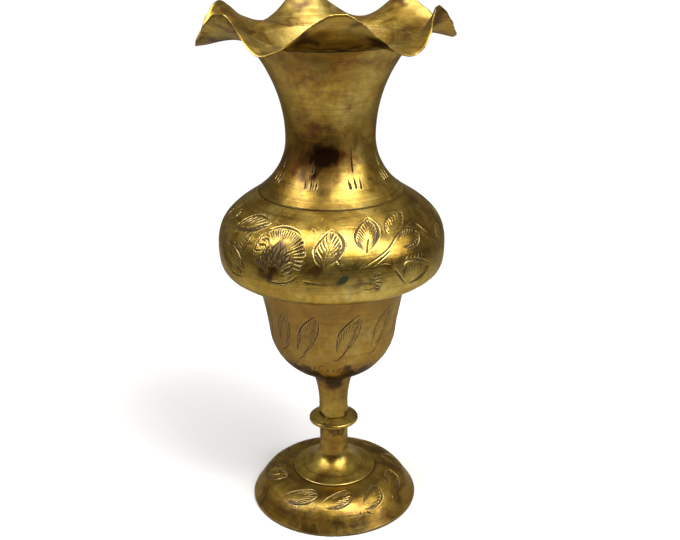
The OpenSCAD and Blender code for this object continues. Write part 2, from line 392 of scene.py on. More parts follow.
def spray(e):
    """The belly's whole front group."""
    cut, swell, leaf = e.cut, e.swell, e.leaf
    flower(e, (-27, 23.6))
    # leaves at the far left
    leaf((-76, 28.5), (-79, 39), (-80, 32), (-71, 34.5), (0.9, 1.1), 8, 0.9)
    leaf((-66, 27.4), (-38.5, 37.4), (-54, 38.0), (-48, 31.4), (1.1, 1.5), 14, 0.9, 0.8)
    swell([(-72, 24.6), (-62, 28.6), (-52, 31.2), (-42, 32.4)], 1.0)
    swell([(-86, 18.5), (-78, 24), (-68, 27.5), (-60, 29.4)], 0.8)
    leaf((-61, 25.2), (-46, 29.4), (-56, 30.6), (-50, 21.4), (0.7, 0.9), 12, 0.75)
    leaf((-71, 22), (-46.5, 10.2), (-62, 10.6), (-52.5, 20.4), (1.2, 1.3), 16, 0.95, 0.75)
    # beside the flower
    swell([(-16, 28.8), (-14.2, 27.5), (-13.2, 25.4), (-13.6, 23.4)], 0.9)
    swell([(-15.6, 27.4), (-15.2, 25.2), (-13.8, 23.2)], 0.8)
    cut([(-11, 37.2), (-9.2, 35.2)], 0.7)
    cut([(-8.6, 38.2), (-7.8, 36.6)], 0.5)
    # two upright leaves
    leaf((-3.8, 18.2), (0.4, 37.0), (-8.4, 27.2), (6.0, 28.8), (1.2, 1.6), 16, 0.95, 0.74)
    cut([(-3.4, 18.6), (-2.6, 24), (-0.4, 30)], 0.8)
    cut([(3.2, 21), (2.4, 25), (3.8, 29.4)], 1.0, 0.3, "gouge")
    leaf((17.4, 24.4), (24.2, 41.8), (13.0, 33.4), (27.0, 34.2), (1.3, 1.6), 22, 0.78, 0.80)
    cut([(17.0, 24.6), (18.2, 28), (20.0, 31.5)], 0.9, 0.3, "gouge")
    # the branch with its leaves
    swell([(60, 34.6), (46, 32.8), (36, 29.6), (30, 26), (24, 23.2), (17, 20), (11, 16.4)], 0.95)
    cut([(30, 24.6), (24, 21.4), (15, 16.6)], 0.8)
    cut([(13, 18.6), (16.4, 22.4)], 0.7)
    leaf((33, 31), (53, 41.2), (36, 38.8), (48, 36), (0.9, 0.0), 16, 0.7)
    swell([(32.4, 31.2), (31.8, 34), (33.6, 37)], 0.8)
    leaf((34, 26.2), (52.5, 29.4), (44, 32.2), (45.5, 23.6), (0.8, 1.1), 14, 0.78)
    swell([(22.5, 19.6), (26, 19.8), (31, 17.8)], 0.55)
    leaf((36.6, 8.2), (56, 12.8), (38, 18.4), (47, 8.2), (1.1, 0.8), 22, 0.78)
    for k in range(5):
        cut([(38.5 + 2.6 * k, 21 - 0.3 * k), (36.8 + 2.6 * k, 18.4 - 0.5 * k)], 0.8, 0.3)
    swell([(30.4, 16.8), (33.4, 12.6), (37.4, 8.2)], 1.3)
    swell([(54, 33.6), (56.4, 28.6), (60, 24.6)], 0.9)
    swell([(58, 25.4), (63, 19), (67, 14.2)], 1.0)
    leaf((66.5, 13.4), (78, 27), (67, 24.5), (77, 17), (0.8, 0.8), 16, 0.75)
    leaf((80, 31), (64.5, 38.6), (70, 32.4), (76, 38.8), (0.6, 0.6), 10, 0.78)
    # small bud low on the belly, with its long stalk
    cut([(19, 12.2), (12, 12.0), (4, 12.4)], 0.75)
    swell([(-14.4, 13.4), (-10, 12.9), (-4, 12.5)], 0.7)
    for dx, dy in ((3.2, 3.4), (4.6, 1.2), (5.0, -1.0), (3.8, -3.2), (1.4, 4.0)):
        swell([(19.5 + dx, 12.4 + dy), (18.4 + dx * 0.35, 12.2 + dy * 0.4)], 1.1)
    swell([(14, 9.6), (18.4, 9.2), (21.6, 10.4)], 0.6)


def engrave_belly(e):
    for e.turn in (0, 172):
        spray(e)
    e.turn = 0
    for az in (93, 268):  # single leaves where the two groups meet
        e.leaf((az, 18), (az + 4, 37), (az - 6, 27), (az + 8, 27.5), (1.3, 1.4), 16, 0.78)
        e.cut([(az - 3, 13), (az, 18), (az + 1.4, 22)], 0.9)


def engrave_cup(e):
    # slim leaning leaves, one edge cut hard: azimuth, low, high, lean and width
    leaves = (
        (-50, 31, 52, 9, 9), (-33, 28, 53.5, 22, 9.5), (3, 29.5, 53, 20, 10), (36, 30.5, 54.5, 19, 9),
        (66, 31, 54, 15, 9), (95, 29, 53, 16, 9.5), (126, 30, 52.5, 17, 9), (158, 29, 54, 18, 10),
        (190, 31, 53, 15, 9), (221, 30, 54, 17, 9.5), (254, 29, 52.5, 18, 9), (283, 30, 53.5, 15, 9),
    )
    for az, low, high, lean, width in leaves:
        base, tip = np.array([az, low], float), np.array([az + lean, high], float)
        mm = np.array([1 / e.degrees_per_mm((base[1] + tip[1]) / 2), 1.0])
        along = (tip - base) * mm
        across = np.array([-along[1], along[0]]) / np.linalg.norm(along)
        left = (base + tip) / 2 + across * width * 0.46 / mm
        right = (base + tip) / 2 - across * width * 0.40 / mm
        e.leaf(base, tip, left, right, (-0.95, -0.75), 20, 0.70, 0.8, 0.62)
        e.swell([(az - 6, low + 0.6), (az - 1, low - 0.8), (az + 5, low + 1.6), (az + 11, low + 6)], 0.7)
    for az in range(0, 360, 24):  # calyx strokes round the bottom of the bowl
        for dx, dy, w in ((0, 0, 1.0), (7, 1.2, 0.8), (-7, 0.8, 0.8), (13, 3.5, 0.6)):
            e.cut([(az + dx, 22.5 + dy), (az + dx * 0.5, 18.6 + dy * 0.4)], w)


def engrave_neck(e):
    for k, az in enumerate(range(25, 385, 45)):
        tall = 0.85 + 0.15 * math.cos(2.4 * k)
        e.cut([(az - 0.6, 16), (az, 23), (az + 0.6, 30 * tall)], 1.05)
        e.cut([(az - 6.0, 9.6), (az - 7.4, 14.4)], 1.25)
        e.cut([(az - 0.2, 9.4), (az - 0.6, 15.4)], 1.1)
        e.cut([(az + 5.0, 9.0), (az + 6.6, 15.2)], 1.15)
        e.cut([(az - 2.6, 25.5), (az - 2.2, 21.5)], 0.4)


def engrave_foot(e):
    # azimuth, low, run, rise and width of each leaf
    leaves = (
        (-86, 12, 20, 10, 7), (-44, 12.6, 28, 7.5, 9), (-9, 13.4, 29, 7.6, 8.4), (27, 10.6, 23, 9.4, 8.4),
        (60, 12, 22, 8, 8), (92, 12, 24, 8.5, 8), (126, 12.4, 26, 7.5, 8.5), (162, 12, 25, 8, 8),
        (197, 12.4, 25, 8, 8.4), (230, 12, 24, 8, 8), (262, 12, 22, 8, 7.5),
    )
    for az, low, run, rise, width in leaves:
        base, tip = np.array([az - 7, low - 1.2]), np.array([az + run, low + rise])
        left = (az + run * 0.42, low + rise * 0.62 + width * 0.36)
        right = (az + run * 0.6, low + rise * 0.3 - width * 0.3)
        e.leaf(base, tip, left, right, (0.8, 0.9), 16, 0.75, 0.66)
        e.cut([(az - 4 * e.degrees_per_mm(low + rise / 2), low - 3), base], 0.7)
    e.cut([(25.6, 8.4), (29.6, 5.8)], 0.7)


# ---------------------------------------------------------------- meshes

# Per-vertex masks: the wear mask also holds painted glints, and the stain mask also holds painted shade.
MASKS = ("cut", "wear_and_glint", "inside", "stain_and_shade", "green")


def waves(points, size, length, seed):
    """Smooth bumps and dips of about that size, from plane waves in every direction."""
    rng = np.random.default_rng(seed)
    total = np.zeros(len(points))
    for _ in range(14):
        way = rng.normal(size=3)
        way *= 2 * math.pi / (length * rng.uniform(0.7, 1.6)) / np.linalg.norm(way)
        total += np.sin(points @ way + rng.uniform(0, 2 * math.pi))
    return total * size / math.sqrt(7)


def wander(points, size, length, seed):
    """Shifts in all three directions that make the outline of a mark irregular."""
    return np.stack([waves(points, size, length, seed + k) for k in range(3)], 1)


def on_rings(radius, az, height):
    """Points at a radius and a height, at azimuths in radians."""
    x, y, z = np.broadcast_arrays(radius * np.sin(az), -radius * np.cos(az), height)
    return np.stack([x, y, z], -1).reshape(-1, 3)


def grid_faces(rows, around, closed):
    """Quads over rings of vertices; closed joins the last ring to the first."""
    i, j = np.meshgrid(np.arange(rows if closed else rows - 1), np.arange(around), indexing="ij")
    here, above, onward = i * around, (i + 1) % rows * around, (j + 1) % around
    return np.stack([here + j, here + onward, above + onward, above + j], -1).reshape(-1, 4)


def make_mesh(node, vertices, faces, masks):
    """A smooth-shaded mesh object, millimetres in and metres out, with one attribute per mask."""
    name = "visual_" + node
    mesh = bpy.data.meshes.new(name)
    mesh.from_pydata((vertices * MM).tolist(), [], faces)
    mesh.validate()
    for key in MASKS:
        values = masks.get(key, np.zeros(len(vertices)))
        attribute = mesh.attributes.new(key, "FLOAT", "POINT")
        attribute.data.foreach_set("value", np.asarray(values, np.float32))
    mesh.shade_smooth()
    mesh.update()
    obj = bpy.data.objects.new(name, mesh)
    bpy.context.scene.collection.objects.link(obj)
    return obj


def turned_shell(node, start, outer, inner, around, wobble, seed, engrave=None, split=1,
                 seams=(0, 0), dark_ring=None, rounding=0.16):
    """Closed shell turned from a node's section, its cells split more finely where they are engraved.

    start lies where the outer face begins; outer and inner are the heights of the cells, around
    their number; seams are the strengths of the dirt at the two ends of the outer face, and the
    ring radius, when given, is where a dark line runs round the foot of a part that stands on this one.
    """
    profile = Profile(node, start, rounding)
    ring = profile.closed
    base_rows = profile.rows(outer, inner)
    rows = (base_rows[:-1, None] + np.diff(base_rows)[:, None] * np.arange(split) / split).ravel()
    if not ring:
        rows = np.append(rows, profile.length)
    r, z, nr, nz = profile.sample(rows)
    r = np.maximum(r, 0.05)
    columns = around * split
    depth, lift, grime = np.zeros((3, len(rows), columns))
    if engrave:
        face = (rows >= profile.start) & (rows <= profile.stop)
        e = Engraving(rows[face] - profile.start, r[face], columns)
        engrave(e)
        depth[face], lift[face], grime[face] = e.depth, e.lift, e.grime
    n_rows, total_rows = len(base_rows) - 1, len(rows)

    # which cells are split, and which have a split neighbour
    fine = np.zeros((n_rows, around), bool)
    if split > 1:
        marked = depth > 0.03
        for i in range(n_rows):
            band = marked[i * split : (i + 1) * split + 1].any(0)
            wide = np.append(band, band[0])
            fine[i] = [wide[j * split : (j + 1) * split + 1].any() for j in range(around)]
    left, right = np.roll(fine, 1, axis=1), np.roll(fine, -1, axis=1)
    below, above = np.roll(fine, 1, axis=0), np.roll(fine, -1, axis=0)
    if not ring:
        below[0] = above[-1] = False
    plain = ~(fine | left | right | below | above)

    # numbers of the vertices in use
    used = -np.ones((total_rows, columns), dtype=np.int64)
    used[::split, ::split] = 0
    fi, fj = np.nonzero(fine)
    for a in range(split + 1):
        for b in range(split + 1):
            used[(fi * split + a) % total_rows, (fj * split + b) % columns] = 0
    ui, uj = np.nonzero(used == 0)
    used[ui, uj] = np.arange(len(ui))

    az = 2 * math.pi * uj / columns
    bare = on_rings(r[ui], az, z[ui])
    worked = waves(bare, wobble, 14, seed) + waves(bare, wobble * 0.45, 5, seed + 1)
    near = np.min([np.abs(rows - c) for c, _ in profile.corners] + [np.full(len(rows), 9.0)], axis=0)
    calm = np.clip(near[ui] / 1.5, 0.12, 1)
    shift = lift[ui, uj] - depth[ui, uj] + worked * calm
    vertices = on_rings(r[ui] + nr[ui] * shift, az, z[ui] + nz[ui] * shift)

    def quads(i0, j0, size):
        """Faces over squares of so many fine cells a side, from their low corners."""
        i1, j1 = (i0 + size) % total_rows, (j0 + size) % columns
        return np.stack([used[i0, j0], used[i0, j1], used[i1, j1], used[i1, j0]], 1).tolist()

    faces = []
    for i, j in zip(*np.nonzero(~fine & ~plain)):  # coarse cells that take their neighbours' points
        i0, i1, j0, j1 = i * split, (i + 1) * split, j * split, (j + 1) * split
        loop = [(i0, k) for k in range(j0, j1, 1 if below[i, j] else split)]
        loop += [(k, j1) for k in range(i0, i1, 1 if right[i, j] else split)]
        loop += [(i1, k) for k in range(j1, j0, -1 if above[i, j] else -split)]
        loop += [(k, j0) for k in range(i1, i0, -1 if left[i, j] else -split)]
        faces.append([int(used[a % total_rows, b % columns]) for a, b in loop])
    whole_i, whole_j = np.nonzero(plain)
    faces += quads(whole_i * split, whole_j * split, split)
    for a in range(split):
        for b in range(split):
            faces += quads(fi * split + a, fj * split + b, 1)
    if not ring:  # close the two small holes at the axis
        faces.append(used[0, ::split][::-1].tolist())
        faces.append(used[-1, ::split].tolist())

    outside = (rows[ui] >= profile.start - 0.3) & (rows[ui] <= profile.stop + 0.3)
    ends = np.zeros(len(rows))
    for strength, seam in zip(seams, (profile.start, profile.stop)):
        ends = np.maximum(ends, strength * np.exp(-(((rows - seam) / 0.34) ** 2)))
    soil = np.maximum(grime[ui, uj], ends[ui])
    # A dark line round the foot of the part that stands on this one.
    if dark_ring:
        soil = np.maximum(soil, np.exp(-(((r[ui] - dark_ring) / 0.4) ** 2)) * outside)
    corner_wear = np.exp(-((near[ui] / 0.5) ** 2)) * (1 - ends[ui])
    masks = {
        "cut": soil,
        # Worn corners, plus a painted glint along the raised burr beside each cut.
        "wear_and_glint": corner_wear * 0.8 + np.clip(lift[ui, uj] / 0.06, 0, 1) * 0.8,
        # Inside faces: tarnish, with painted shade that deepens below the rim.
        "inside": ~outside * np.clip((profile.top - z[ui]) / 40 + 0.6, 0, 1),
    }
    masks["stain_and_shade"], masks["green"] = marks_for(node, vertices)
    return make_mesh(node, vertices, faces, masks)


# Marks on a surface (stains, some painted shade, verdigris): the radius it has there, then azimuth,
# height, size across, size up and strength.
STAINS_AND_SHADE = {
    # On the neck, the flat bands in front at heights 221 to 222 (azimuths 10, -20 and -8) are painted
    # shadow under the lip.
    "neck": (22, (
        (-18, 179, 7.5, 6, 1.5), (-6, 182, 6, 6, 1.45), (-36, 177, 7, 8, 0.85), (10, 181, 5, 4.5, 0.8),
        (0, 173, 4, 7, 0.55), (-14, 169, 3, 5, 0.4), (-12, 191, 10, 4, 0.6), (24, 178, 5, 9, 0.4),
        (70, 190, 8, 8, 0.5), (-22, 214, 9, 4, 0.42), (6, 205, 7, 5, 0.3), (26, 190, 3, 6, 0.42),
        (-34, 197, 6, 6, 0.32), (10, 222, 22, 2.5, 0.42), (-20, 221, 14, 2, 0.4), (120, 210, 12, 6, 0.45),
        (200, 206, 10, 7, 0.45), (280, 212, 11, 6, 0.45), (150, 182, 12, 6, 0.8), (230, 188, 9, 6, 0.6),
        (-70, 176, 8, 10, 0.6), (-8, 222, 9, 3, 0.3), (60, 219, 10, 4, 0.4), (190, 170, 10, 6, 0.4),
    )),
    "belly": (51, (
        (-7, 140, 6, 4, 0.72), (2, 137, 14, 3.5, 0.42), (16, 135, 9, 3, 0.4), (-31, 139, 7, 5, 0.95),
        (-26, 144, 6, 6, 0.85), (64, 145, 9, 14, 0.5), (-55, 150, 12, 8, 0.3), (141, 138, 8, 5, 0.95),
        (145, 144, 6.5, 6.5, 0.85), (210, 136, 12, 5, 0.5), (290, 142, 9, 8, 0.4), (100, 132, 14, 5, 0.4),
    )),
    # On the foot, the patches at azimuths -68, -95, 64 and 88 are painted dark reflections on its sides.
    "foot_dome": (40, (
        (-12, 6, 9, 3.5, 0.62), (-24, 4, 7, 2.5, 0.58), (-68, 6, 12, 4.5, 0.66), (-95, 12, 14, 4, 0.55),
        (-40, 10, 8, 2.5, 0.4), (64, 8, 11, 4.5, 0.7), (88, 12, 12, 4, 0.6), (40, 3, 9, 3, 0.5),
        (160, 6, 9, 4, 0.5), (215, 8, 11, 4, 0.55),
    )),
    # On the lip, the first three marks are mostly painted shade and dark reflection under the front crest,
    # partly dirt.
    "fluted_lip": (48, (
        (-10, 234.5, 5.5, 3.2, 0.95), (23, 234, 7, 3.2, 1.05), (5, 229.4, 24, 1.3, 0.85),
        (12, 240, 5, 2.5, 0.5), (-40, 229, 9, 2, 0.6), (-75, 230, 9, 3, 0.7), (74, 236, 7, 4, 0.75),
        (58, 231, 7, 3, 0.6), (-48, 237, 8, 3, 0.55), (-28, 227.5, 7, 1.5, 0.5), (110, 230, 14, 3, 0.6),
        (140, 237, 8, 4, 0.7), (165, 230, 12, 3, 0.6), (196, 237, 9, 3, 0.6), (215, 229, 16, 2, 0.65),
        (250, 236, 9, 4, 0.7), (277, 229, 12, 2, 0.5), (318, 240, 6, 3, 0.5), (36, 228, 10, 1.5, 0.5),
    )),
}
VERDIGRIS = {
    "belly": (51, (
        (4.4, 135.6, 2.3, 1.84, 1.25), (19.5, 136.4, 2.6, 2.08, 0.62), (-1, 138.5, 3.2, 2.56, 0.42),
        (20.5, 131.4, 1.3, 1.04, 0.8), (177, 137, 2.4, 1.92, 1.0), (-3, 138.5, 3, 2.4, 0.4),
    )),
    "cup": (34, ((8, 120, 2, 2, 0.5), (60, 118, 3, 3, 0.4), (200, 80, 4, 4, 0.4))),
}


def marks_at(points, marks):
    """Strength of a surface's marks, each of which fades away from its middle."""
    radius, places = marks
    az = np.degrees(np.arctan2(points[:, 0], -points[:, 1]))
    total = np.zeros(len(points))
    for azimuth, height, across, up, strength in places:
        x = np.radians((az - azimuth + 180) % 360 - 180) * radius
        away = (x / across) ** 2 + ((points[:, 2] - height) / up) ** 2
        total = np.maximum(total, strength * np.exp(-away))
    return total


def marks_for(node, points):
    """Stains, painted shade and verdigris that lie at certain places on a turned shell."""
    away = wander(points, 1.5, 11, 70) + wander(points, 0.8, 4, 80)
    calm, points = points + 0.35 * away, points + away
    z = points[:, 2]
    none = (1, ())
    stain_and_shade = marks_at(points, STAINS_AND_SHADE.get(node, none))
    green = marks_at(calm if node == "belly" else points, VERDIGRIS.get(node, none))

    def band(height, half):
        return np.exp(-(((z - height) / half) ** 2))

    # The cup grows darker towards its bottom.
    if node == "cup":
        stain_and_shade = 0.95 * np.clip((82.5 - z) / 5, 0, 1)
    # The upper stem darkens towards its top under the cup, and has dirt in the joint above the collar.
    if node == "stem_upper":
        stain_and_shade = band(69.5, 6.0) + 0.8 * band(44.5, 1.2)
    if node == "collar":
        stain_and_shade = 0.12 + np.clip(waves(points, 0.22, 6, 97), 0, 0.6)
    # The lower stem is darker above the flare, with a band of painted shade just under the collar.
    if node == "stem_lower":
        stain_and_shade = 0.32 * np.clip((z - 25) / 5, 0, 1) + 0.35 * band(39, 1.6)
    return stain_and_shade, green


LIP_SECTIONS = 120  # sections round the mouth in the CAD node
LIP_AROUND = 540
LIP_STEPS = 40  # points from the root of the lip to its edge


def lip_sections(node):
    """The lip's sections in the CAD: sections x points x (radius, height), up the top face and back."""
    co, tri = node_arrays(node)
    same = np.array(joined(co))
    ids = np.unique(same)
    points = co[ids]
    spread = np.degrees(np.arctan2(points[:, 0], -points[:, 1])) % 360
    which = np.rint(spread / (360 / LIP_SECTIONS)).astype(int) % LIP_SECTIONS
    index = {int(k): n for n, k in enumerate(ids)}
    links = [set() for _ in ids]
    for t in tri:
        a = [index[int(same[k])] for k in t]
        for p, q in ((0, 1), (1, 2), (2, 0)):
            if a[p] != a[q] and which[a[p]] == which[a[q]]:
                links[a[p]].add(a[q])
                links[a[q]].add(a[p])
    radius = np.hypot(points[:, 0], points[:, 1])
    table = []
    for k in range(LIP_SECTIONS):
        members = np.nonzero(which == k)[0]
        seat = members[radius[members].argmin()]
        chain = [seat]
        here = sorted(links[seat], key=lambda m: -points[m][2])[0]
        while here != seat and here not in chain:
            chain.append(here)
            ahead = [m for m in links[here] if m not in chain]
            if not ahead:
                break
            # the next point along the sheet is the nearest one not yet passed
            here = min(ahead, key=lambda m: np.linalg.norm(points[m] - points[here]))
        table.append([(radius[m], points[m][2]) for m in chain])
    return np.array(table)


def between_sections(values, az):
    """Values at azimuths in degrees, from those of the sections, by a periodic cubic."""
    x = az / (360 / LIP_SECTIONS)
    k = np.floor(x).astype(int)
    t = (x - k)[:, None, None]
    p0, p1, p2, p3 = [values[(k + n) % LIP_SECTIONS] for n in (-1, 0, 1, 2)]
    square = (2 * p0 - 5 * p1 + 4 * p2 - p3) * t**2
    cube = (3 * p1 - p0 - 3 * p2 + p3) * t**3
    return 0.5 * (2 * p1 + (p2 - p0) * t + square + cube)


def even_steps(lines):
    """Each line with the same number of steps, a little closer together towards the edge."""
    dense = np.zeros((len(lines), LIP_STEPS, 2))
    for k, line in enumerate(lines):
        smooth = spline(line, 0.4)
        run = lengths_along(smooth)
        at = np.linspace(0, 1, LIP_STEPS) ** 0.92 * run[-1]
        dense[k] = np.stack([np.interp(at, run, smooth[:, c]) for c in (0, 1)], 1)
    return dense


def lip_edge(az):
    """How far the lip's worn edge reaches out at each azimuth, in radians."""
    reach = np.zeros(len(az))
    rng = np.random.default_rng(23)

    def hump(centre, half):
        return np.exp(-((np.angle(np.exp(1j * (az - centre))) / half) ** 2))

    for _ in range(9):
        reach += rng.normal(0, 0.06) * np.cos(rng.integers(9, 60) * az + rng.uniform(0, 6.3))
    for _ in range(26):  # nicks and filed flats
        centre, half, deep = rng.uniform(0, 2 * math.pi), rng.uniform(0.008, 0.03), rng.uniform(0.08, 0.3)
        reach -= deep * hump(centre, half)
    tapped = 0.25 + hump(math.radians(8), 0.42)  # a stretch in front is tapped all along
    return reach + 0.16 * tapped * np.sin(az * 150 + 1.5 * np.sin(az * 17)) * np.sin(az * 31 + 0.7) ** 2


def lip_sheet(node):
    """The fluted sheet lip, swept smoothly through the sections of its CAD node and worked by hand."""
    table = lip_sections(node)
    degrees = np.arange(LIP_AROUND) * 360 / LIP_AROUND
    az = np.radians(degrees)
    ringed = between_sections(table, degrees)
    half = table.shape[1] // 2
    upper, under = even_steps(ringed[:, :half]), even_steps(ringed[:, half:][:, ::-1])
    middle, thick = (upper + under) / 2, (upper - under) / 2

    share = np.linspace(0, 1, LIP_STEPS)
    flat = on_rings(middle[..., 0], az[:, None], middle[..., 1])
    dents = (waves(flat, 0.10, 12, 5) + waves(flat, 0.05, 5, 6)).reshape(LIP_AROUND, LIP_STEPS)
    dents *= np.clip(share * 3, 0, 1)
    lean = thick / np.maximum(np.linalg.norm(thick, axis=-1, keepdims=True), 1e-9)
    reach = lip_edge(az)
    outward = middle[:, -1] - middle[:, -3]
    outward /= np.linalg.norm(outward, axis=1, keepdims=True)
    pull = np.clip((share - 0.86) / 0.14, 0, 1)[None, :, None] ** 2
    pull = pull * (reach - 0.12)[:, None, None] * outward[:, None, :]
    body = 0.86 + 0.1 * waves(flat, 1.0, 16, 9).reshape(LIP_AROUND, LIP_STEPS)
    body = np.where(share < 0.05, 1.0, np.clip(body, 0.7, 1.0))
    # the two faces close towards each other over the last millimetre
    close = np.sqrt(1 - np.clip((share - 0.965) / 0.035, 0, 1) ** 2)
    offset = thick * (body * np.maximum(close, 0.35))[..., None]
    centre = middle + lean * dents[..., None] + pull
    top, low = centre + offset, centre - offset
    top[:, 0], low[:, 0] = upper[:, 0], under[:, 0]
    nose = (top[:, -1] + low[:, -1]) / 2 + outward * 0.16
    loop = np.concatenate([top, nose[:, None], low[:, ::-1]], axis=1)  # up the upper face and back under
    count = loop.shape[1]
    vertices = on_rings(loop[..., 0], az[:, None], loop[..., 1])
    faces = np.roll(grid_faces(LIP_AROUND, count, True), -1, axis=1)

    row = np.arange(count)
    edge_wear = np.exp(-(((row - LIP_STEPS) / 2.2) ** 2))
    # Painted glints: bright dots spaced along the worn edge of the lip.
    painted_glint = 0.25 + 0.75 * np.clip(np.sin(az * 97 + 3 * np.sin(az * 13)) * 1.6 + 0.5, 0, 1)
    # The lip's root crease: mostly painted shade on the underside, with some dirt; only a little dirt on
    # the top face.
    crease = np.exp(-((np.minimum(row, count - 1 - row) / 1.5) ** 2))
    bent = vertices + wander(vertices, 1.2, 9, 90)
    return make_mesh(node, vertices, faces.tolist(), {
        "cut": np.tile(crease * np.where(row < LIP_STEPS, 0.1, 0.6), LIP_AROUND),
        "wear_and_glint": np.outer(np.clip(0.6 + 3 * reach, 0.2, 1.0) * painted_glint, edge_wear).ravel(),
        "stain_and_shade": marks_at(bent, STAINS_AND_SHADE[node]),
    })


def threaded_rod(node):
    """The tie stud: rolled thread at both ends, plain between, with chamfered ends."""
    low, high = box_mm(node)
    radius, around = (high[0] - low[0]) / 2, 48
    pitch, thread = 1.0, 13.0
    bottom, top = low[2], high[2]
    step = pitch / 9
    lower_thread, upper_thread = bottom + thread, top - thread
    levels = np.concatenate([
        np.arange(bottom, lower_thread, step), np.linspace(lower_thread, upper_thread, 8),
        np.arange(upper_thread + step, top, step), [top],
    ])[:, None]
    az = np.arange(around) / around
    tooth = np.abs(((levels / pitch - az) % 1) - 0.5) * 2
    near_end = np.minimum(levels - bottom, top - levels)
    threaded = np.clip((thread - near_end) / 0.8, 0, 1)
    r = radius - 0.02 - threaded * 0.5 * np.clip(tooth * 1.25 - 0.12, 0, 1)
    r = np.minimum(r, radius - 0.75 + near_end)
    vertices = on_rings(r, 2 * math.pi * az, levels)
    faces = grid_faces(len(levels), around, False).tolist()
    faces += [list(range(around))[::-1], list(range(len(vertices) - around, len(vertices)))]
    return make_mesh(node, vertices, faces, {"cut": (tooth * threaded).ravel() * 0.8})


def hexagon_nut(node, hole):
    """The nut: flats, chamfered corners above and below, a countersunk hole."""
    low, high = box_mm(node)
    bottom, top = low[2], high[2]
    apothem = min(high[:2] - low[:2]) / 2
    around = 144
    az = 2 * math.pi * np.arange(around) / around
    points_on_y = (high[1] - low[1]) > (high[0] - low[0])
    phase = 0.0 if points_on_y else math.pi / 6
    sector = (az + phase) % (math.pi / 3) - math.pi / 6
    flat = apothem / np.cos(sector)
    fall = np.clip((flat - apothem * 1.02) * 0.55, 0, None)
    half = [  # radius, depth below the face and wear of the rings, from the middle of the hole outwards
        (hole, 0.45, 0.2), (hole + 0.45, 0.02, 0.3), (apothem * 0.96, 0, 0.3),
        (flat - 0.08, fall + 0.08, 1), (flat, fall + 0.3, 0.8),
    ]
    rings = [(r, bottom + deep, w) for r, deep, w in half]
    rings += [(r, top - deep, w) for r, deep, w in half[::-1]]
    vertices = np.concatenate([on_rings(r, az, z) for r, z, _ in rings])
    wear_and_glint = np.repeat([w for _, _, w in rings], around)
    return make_mesh(node, vertices, grid_faces(len(rings), around, True).tolist(), {"wear_and_glint": wear_and_glint})


# ---------------------------------------------------------------- materials


class Graph:
    """Short ways to add shader nodes to a material or a world."""

    def __init__(self, owner):
        self.owner = owner
        owner.use_nodes = True
        self.tree = owner.node_tree
        self.tree.nodes.clear()

    def feed(self, socket, value):
        if isinstance(value, bpy.types.NodeSocket):
            self.tree.links.new(value, socket)
        else:
            socket.default_value = value

    def node(self, kind, inputs=(), **settings):
        n = self.tree.nodes.new("ShaderNode" + kind)
        for key, value in settings.items():
            setattr(n, key, value)
        for key, value in dict(inputs).items():
            self.feed(n.inputs[key], value)
        return n

    def math(self, operation, a, b, clamp=False):
        return self.node("Math", {0: a, 1: b}, operation=operation, use_clamp=clamp).outputs[0]

    def scaled(self, a, b):
        return self.math("MULTIPLY", a, b)

    def add(self, *terms):
        """Sum of values and of (value, weight) pairs."""
        total, *rest = [self.scaled(*t) if isinstance(t, tuple) else t for t in terms]
        for t in rest:
            total = self.math("ADD", total, t)
        return total

    def one_less(self, a):
        return self.math("SUBTRACT", 1.0, a, clamp=True)

    def level(self, value, low, high, to_low=0.0, to_high=1.0):
        return self.node("MapRange", {0: value, 1: low, 2: high, 3: to_low, 4: to_high}).outputs[0]

    def where(self):
        return self.node("TexCoord").outputs["Object"]

    def mask(self, name):
        return self.node("Attribute", attribute_name=name).outputs["Fac"]

    def noise(self, vector, scale, detail=4.0, rough=0.55, distortion=0.0):
        inputs = {"Vector": vector, "Scale": scale, "Detail": detail, "Roughness": rough}
        return self.node("TexNoise", {**inputs, "Distortion": distortion}).outputs[0]

    def streaks(self, vector, scale, detail, rough=0.5, rotation=(0, 0, 0)):
        """Noise stretched by a different scale in each direction."""
        inputs = {"Vector": vector, "Scale": scale, "Rotation": rotation}
        return self.noise(self.node("Mapping", inputs).outputs[0], 1.0, detail, rough)

    def mix(self, share, a, b):
        n = self.node("Mix", {0: share}, data_type="RGBA")
        for socket, value in ((n.inputs[6], a), (n.inputs[7], b)):
            self.feed(socket, (*value, 1) if isinstance(value, tuple) else value)
        return n.outputs[2]

    def ramp(self, value, stops):
        n = self.node("ValToRGB", {0: value})
        while len(n.color_ramp.elements) < len(stops):
            n.color_ramp.elements.new(0.5)
        for element, (position, colour) in zip(n.color_ramp.elements, stops):
            element.position, element.color = position, (*colour, 1)
        return n.outputs[0]

    def metal(self, height, distance, **inputs):
        """The finished metal material, with bumps of so many metres."""
        bump = self.node("Bump", {"Height": height, "Strength": 0.5, "Distance": distance})
        inputs = {key.replace("_", " "): value for key, value in inputs.items()}
        shader = self.node("BsdfPrincipled", {**inputs, "Normal": bump.outputs[0]})
        self.node("OutputMaterial", {0: shader.outputs[0]})
        return self.owner


